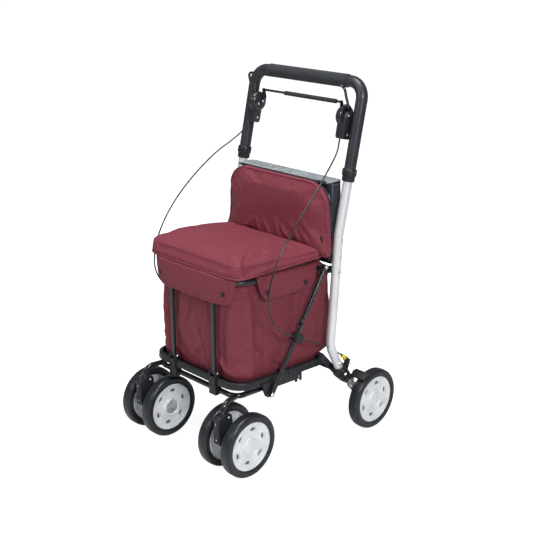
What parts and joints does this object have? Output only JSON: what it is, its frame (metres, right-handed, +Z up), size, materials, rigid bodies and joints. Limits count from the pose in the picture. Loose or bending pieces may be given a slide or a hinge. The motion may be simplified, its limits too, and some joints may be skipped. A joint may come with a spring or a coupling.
{
  "type": "shopping rollator",
  "caption": "Folding shopping rollator with padded seat lid over a fabric bag, backrest pocket, sliding push handle with bail brake, twin-wheel swivel casters and fixed rear wheels.",
  "frame": {"origin": "on the floor, midway between the left and right sides and between the foremost and rearmost points", "axes": "+Z up; -Y is the front, where the casters are, and the user walks behind at +Y; +X is the user's left"},
  "size_m": [0.476, 0.5216, 0.8493],
  "materials": {
    "satin_aluminium": "satin anodised tube",
    "black_powder_coat": "semi-gloss powder coat",
    "black_plastic": "moulded nylon, fine texture",
    "grip_foam": "matte foam",
    "zinc_steel": "zinc plated",
    "tyre_rubber": "smooth rubber",
    "silver_plastic": "silver-painted plastic",
    "burgundy_fabric": "woven coated cloth",
    "grey_fabric": "woven cloth",
    "silver_fabric": "coated reflective cloth",
    "yellow_plastic": "moulded plastic"
  },
  "bodies": {
    "frame": {"upright_left": "satin_aluminium", "rear_bracket_left": "black_plastic", "rear_axle_left": "zinc_steel", "seat_hinge_left": "black_powder_coat", "cable_adjuster_left": "yellow_plastic", "brake_cable_left": "black_plastic", "upright_right": "satin_aluminium", "rear_bracket_right": "black_plastic", "rear_axle_right": "zinc_steel", "seat_hinge_right": "black_powder_coat", "cable_adjuster_right": "yellow_plastic", "brake_cable_right": "black_plastic", "rear_cross_bar": "black_powder_coat", "backrest_frame": "black_powder_coat", "backrest_cushion": "burgundy_fabric", "rear_pocket": "grey_fabric"},
    "pocket_lid": {"pocket_lid": "silver_fabric"},
    "handle": {"handle_tube": "black_powder_coat", "hand_grip": "grip_foam", "height_collar_left": "black_plastic", "brake_housing_left": "black_plastic", "height_collar_right": "black_plastic", "brake_housing_right": "black_plastic"},
    "button_left": {"height_button_left": "black_plastic"},
    "button_right": {"height_button_right": "black_plastic"},
    "brake_bail": {"brake_bail": "black_powder_coat"},
    "parking_bar": {"parking_bar": "black_powder_coat", "parking_sleeve": "grip_foam"},
    "seat_ring": {"seat_frame": "black_powder_coat", "bag": "burgundy_fabric"},
    "seat_lid": {"seat_cushion": "burgundy_fabric", "seat_board": "black_plastic"},
    "base": {"tray_rim": "black_plastic", "tray_floor": "black_plastic", "base_tube": "black_powder_coat"},
    "struts": {"front_strut_left": "black_powder_coat", "front_strut_right": "black_powder_coat"},
    "stay_upper": {"stay_upper_left": "black_powder_coat", "stay_upper_right": "black_powder_coat"},
    "stay_lower": {"stay_lower_left": "black_powder_coat", "stay_lower_right": "black_powder_coat", "stay_clip_left": "black_plastic", "stay_clip_right": "black_plastic"},
    "brake_arms": {"brake_arm_left": "black_powder_coat", "brake_arm_right": "black_powder_coat"},
    "caster_left": {"caster_fork_left": "black_plastic"},
    "rear_wheel_left": {"tyre_rear_left": "tyre_rubber", "disc_rear_left": "silver_plastic"},
    "front_wheel_left_outer": {"tyre_front_left_outer": "tyre_rubber", "disc_front_left_outer": "silver_plastic"},
    "front_wheel_left_inner": {"tyre_front_left_inner": "tyre_rubber", "disc_front_left_inner": "silver_plastic"},
    "caster_right": {"caster_fork_right": "black_plastic"},
    "rear_wheel_right": {"tyre_rear_right": "tyre_rubber", "disc_rear_right": "silver_plastic"},
    "front_wheel_right_outer": {"tyre_front_right_outer": "tyre_rubber", "disc_front_right_outer": "silver_plastic"},
    "front_wheel_right_inner": {"tyre_front_right_inner": "tyre_rubber", "disc_front_right_inner": "silver_plastic"}
  },
  "joints": [
    {"name": "handle_height", "type": "slide", "parent": "frame", "child": "handle", "axis": [0, 0.2284, 0.9736], "range_m": [0, 0.1], "deforming": ["brake_cable_left", "brake_cable_right"]},
    {"name": "button_press_left", "type": "slide", "parent": "handle", "child": "button_left", "axis": [1, 0, 0], "range_m": [-0.0015, 0], "stiffness_N_per_m": 400, "springref_m": 0.002},
    {"name": "button_press_right", "type": "slide", "parent": "handle", "child": "button_right", "axis": [-1, 0, 0], "range_m": [-0.0015, 0], "stiffness_N_per_m": 400, "springref_m": 0.002},
    {"name": "brake_squeeze", "type": "hinge", "parent": "handle", "child": "brake_bail", "pos_m": [0, 0.1624, 0.7809], "axis": [-1, 0, 0], "range_deg": [0, 20], "stiffness_Nm_per_rad": 0.4, "springref_deg": -17.19},
    {"name": "parking_brake", "type": "hinge", "parent": "handle", "child": "parking_bar", "pos_m": [0, 0.172, 0.77], "axis": [-1, 0, 0], "range_deg": [0, 30]},
    {"name": "brake_arm_swing", "type": "hinge", "parent": "frame", "child": "brake_arms", "pos_m": [0, 0.14, 0.112], "axis": [-1, 0, 0], "range_deg": [0, 4.4]},
    {"name": "pocket_lid_hinge", "type": "hinge", "parent": "frame", "child": "pocket_lid", "pos_m": [0, 0.15, 0.6125], "axis": [-1, 0, 0], "range_deg": [0, 90]},
    {"name": "base_fold", "type": "hinge", "parent": "frame", "child": "base", "pos_m": [0, 0.079, 0.199], "axis": [-1, 0, 0], "range_deg": [0, 65], "deforming": ["bag", "seat_cushion"]},
    {"name": "seat_fold", "type": "hinge", "parent": "frame", "child": "seat_ring", "pos_m": [0, 0.081, 0.413], "axis": [-1, 0, 0], "range_deg": [0, 65]},
    {"name": "strut_fold", "type": "hinge", "parent": "base", "child": "struts", "pos_m": [0, -0.187, 0.219], "axis": [-1, 0, 0], "range_deg": [-65, 0]},
    {"name": "stay_upper_fold", "type": "hinge", "parent": "frame", "child": "stay_upper", "pos_m": [0, 0.081, 0.424], "axis": [-1, 0, 0], "range_deg": [0, 96.17]},
    {"name": "stay_lower_fold", "type": "hinge", "parent": "stay_upper", "child": "stay_lower", "pos_m": [0, 0.00135, 0.3061], "axis": [-1, 0, 0], "range_deg": [-129.94, 0]},
    {"name": "seat_lift", "type": "hinge", "parent": "seat_ring", "child": "seat_lid", "pos_m": [0, 0.062, 0.478], "axis": [1, 0, 0], "range_deg": [-80, 0]},
    {"name": "caster_swivel_left", "type": "hinge", "parent": "base", "child": "caster_left", "pos_m": [0.138, -0.2248, 0.075], "axis": [0, 0, 1], "continuous": true},
    {"name": "front_spin_left_outer", "type": "hinge", "parent": "caster_left", "child": "front_wheel_left_outer", "pos_m": [0.1755, -0.1858, 0.075], "axis": [1, 0, 0], "continuous": true},
    {"name": "front_spin_left_inner", "type": "hinge", "parent": "caster_left", "child": "front_wheel_left_inner", "pos_m": [0.1005, -0.1858, 0.075], "axis": [1, 0, 0], "continuous": true},
    {"name": "rear_spin_left", "type": "hinge", "parent": "frame", "child": "rear_wheel_left", "pos_m": [0.224, 0.1858, 0.075], "axis": [1, 0, 0], "continuous": true},
    {"name": "caster_swivel_right", "type": "hinge", "parent": "base", "child": "caster_right", "pos_m": [-0.138, -0.2248, 0.075], "axis": [0, 0, 1], "continuous": true},
    {"name": "front_spin_right_outer", "type": "hinge", "parent": "caster_right", "child": "front_wheel_right_outer", "pos_m": [-0.1755, -0.1858, 0.075], "axis": [1, 0, 0], "continuous": true},
    {"name": "front_spin_right_inner", "type": "hinge", "parent": "caster_right", "child": "front_wheel_right_inner", "pos_m": [-0.1005, -0.1858, 0.075], "axis": [1, 0, 0], "continuous": true},
    {"name": "rear_spin_right", "type": "hinge", "parent": "frame", "child": "rear_wheel_right", "pos_m": [-0.224, 0.1858, 0.075], "axis": [1, 0, 0], "continuous": true}
  ],
  "couplings": [
    {"joint": "brake_arm_swing", "follows": "brake_squeeze", "ratio": 0.22},
    {"joint": "seat_fold", "follows": "base_fold", "ratio": 1},
    {"joint": "strut_fold", "follows": "base_fold", "ratio": -1},
    {"joint": "stay_upper_fold", "follows": "base_fold", "ratio": 1.4796},
    {"joint": "stay_lower_fold", "follows": "base_fold", "ratio": -1.999}
  ]
}
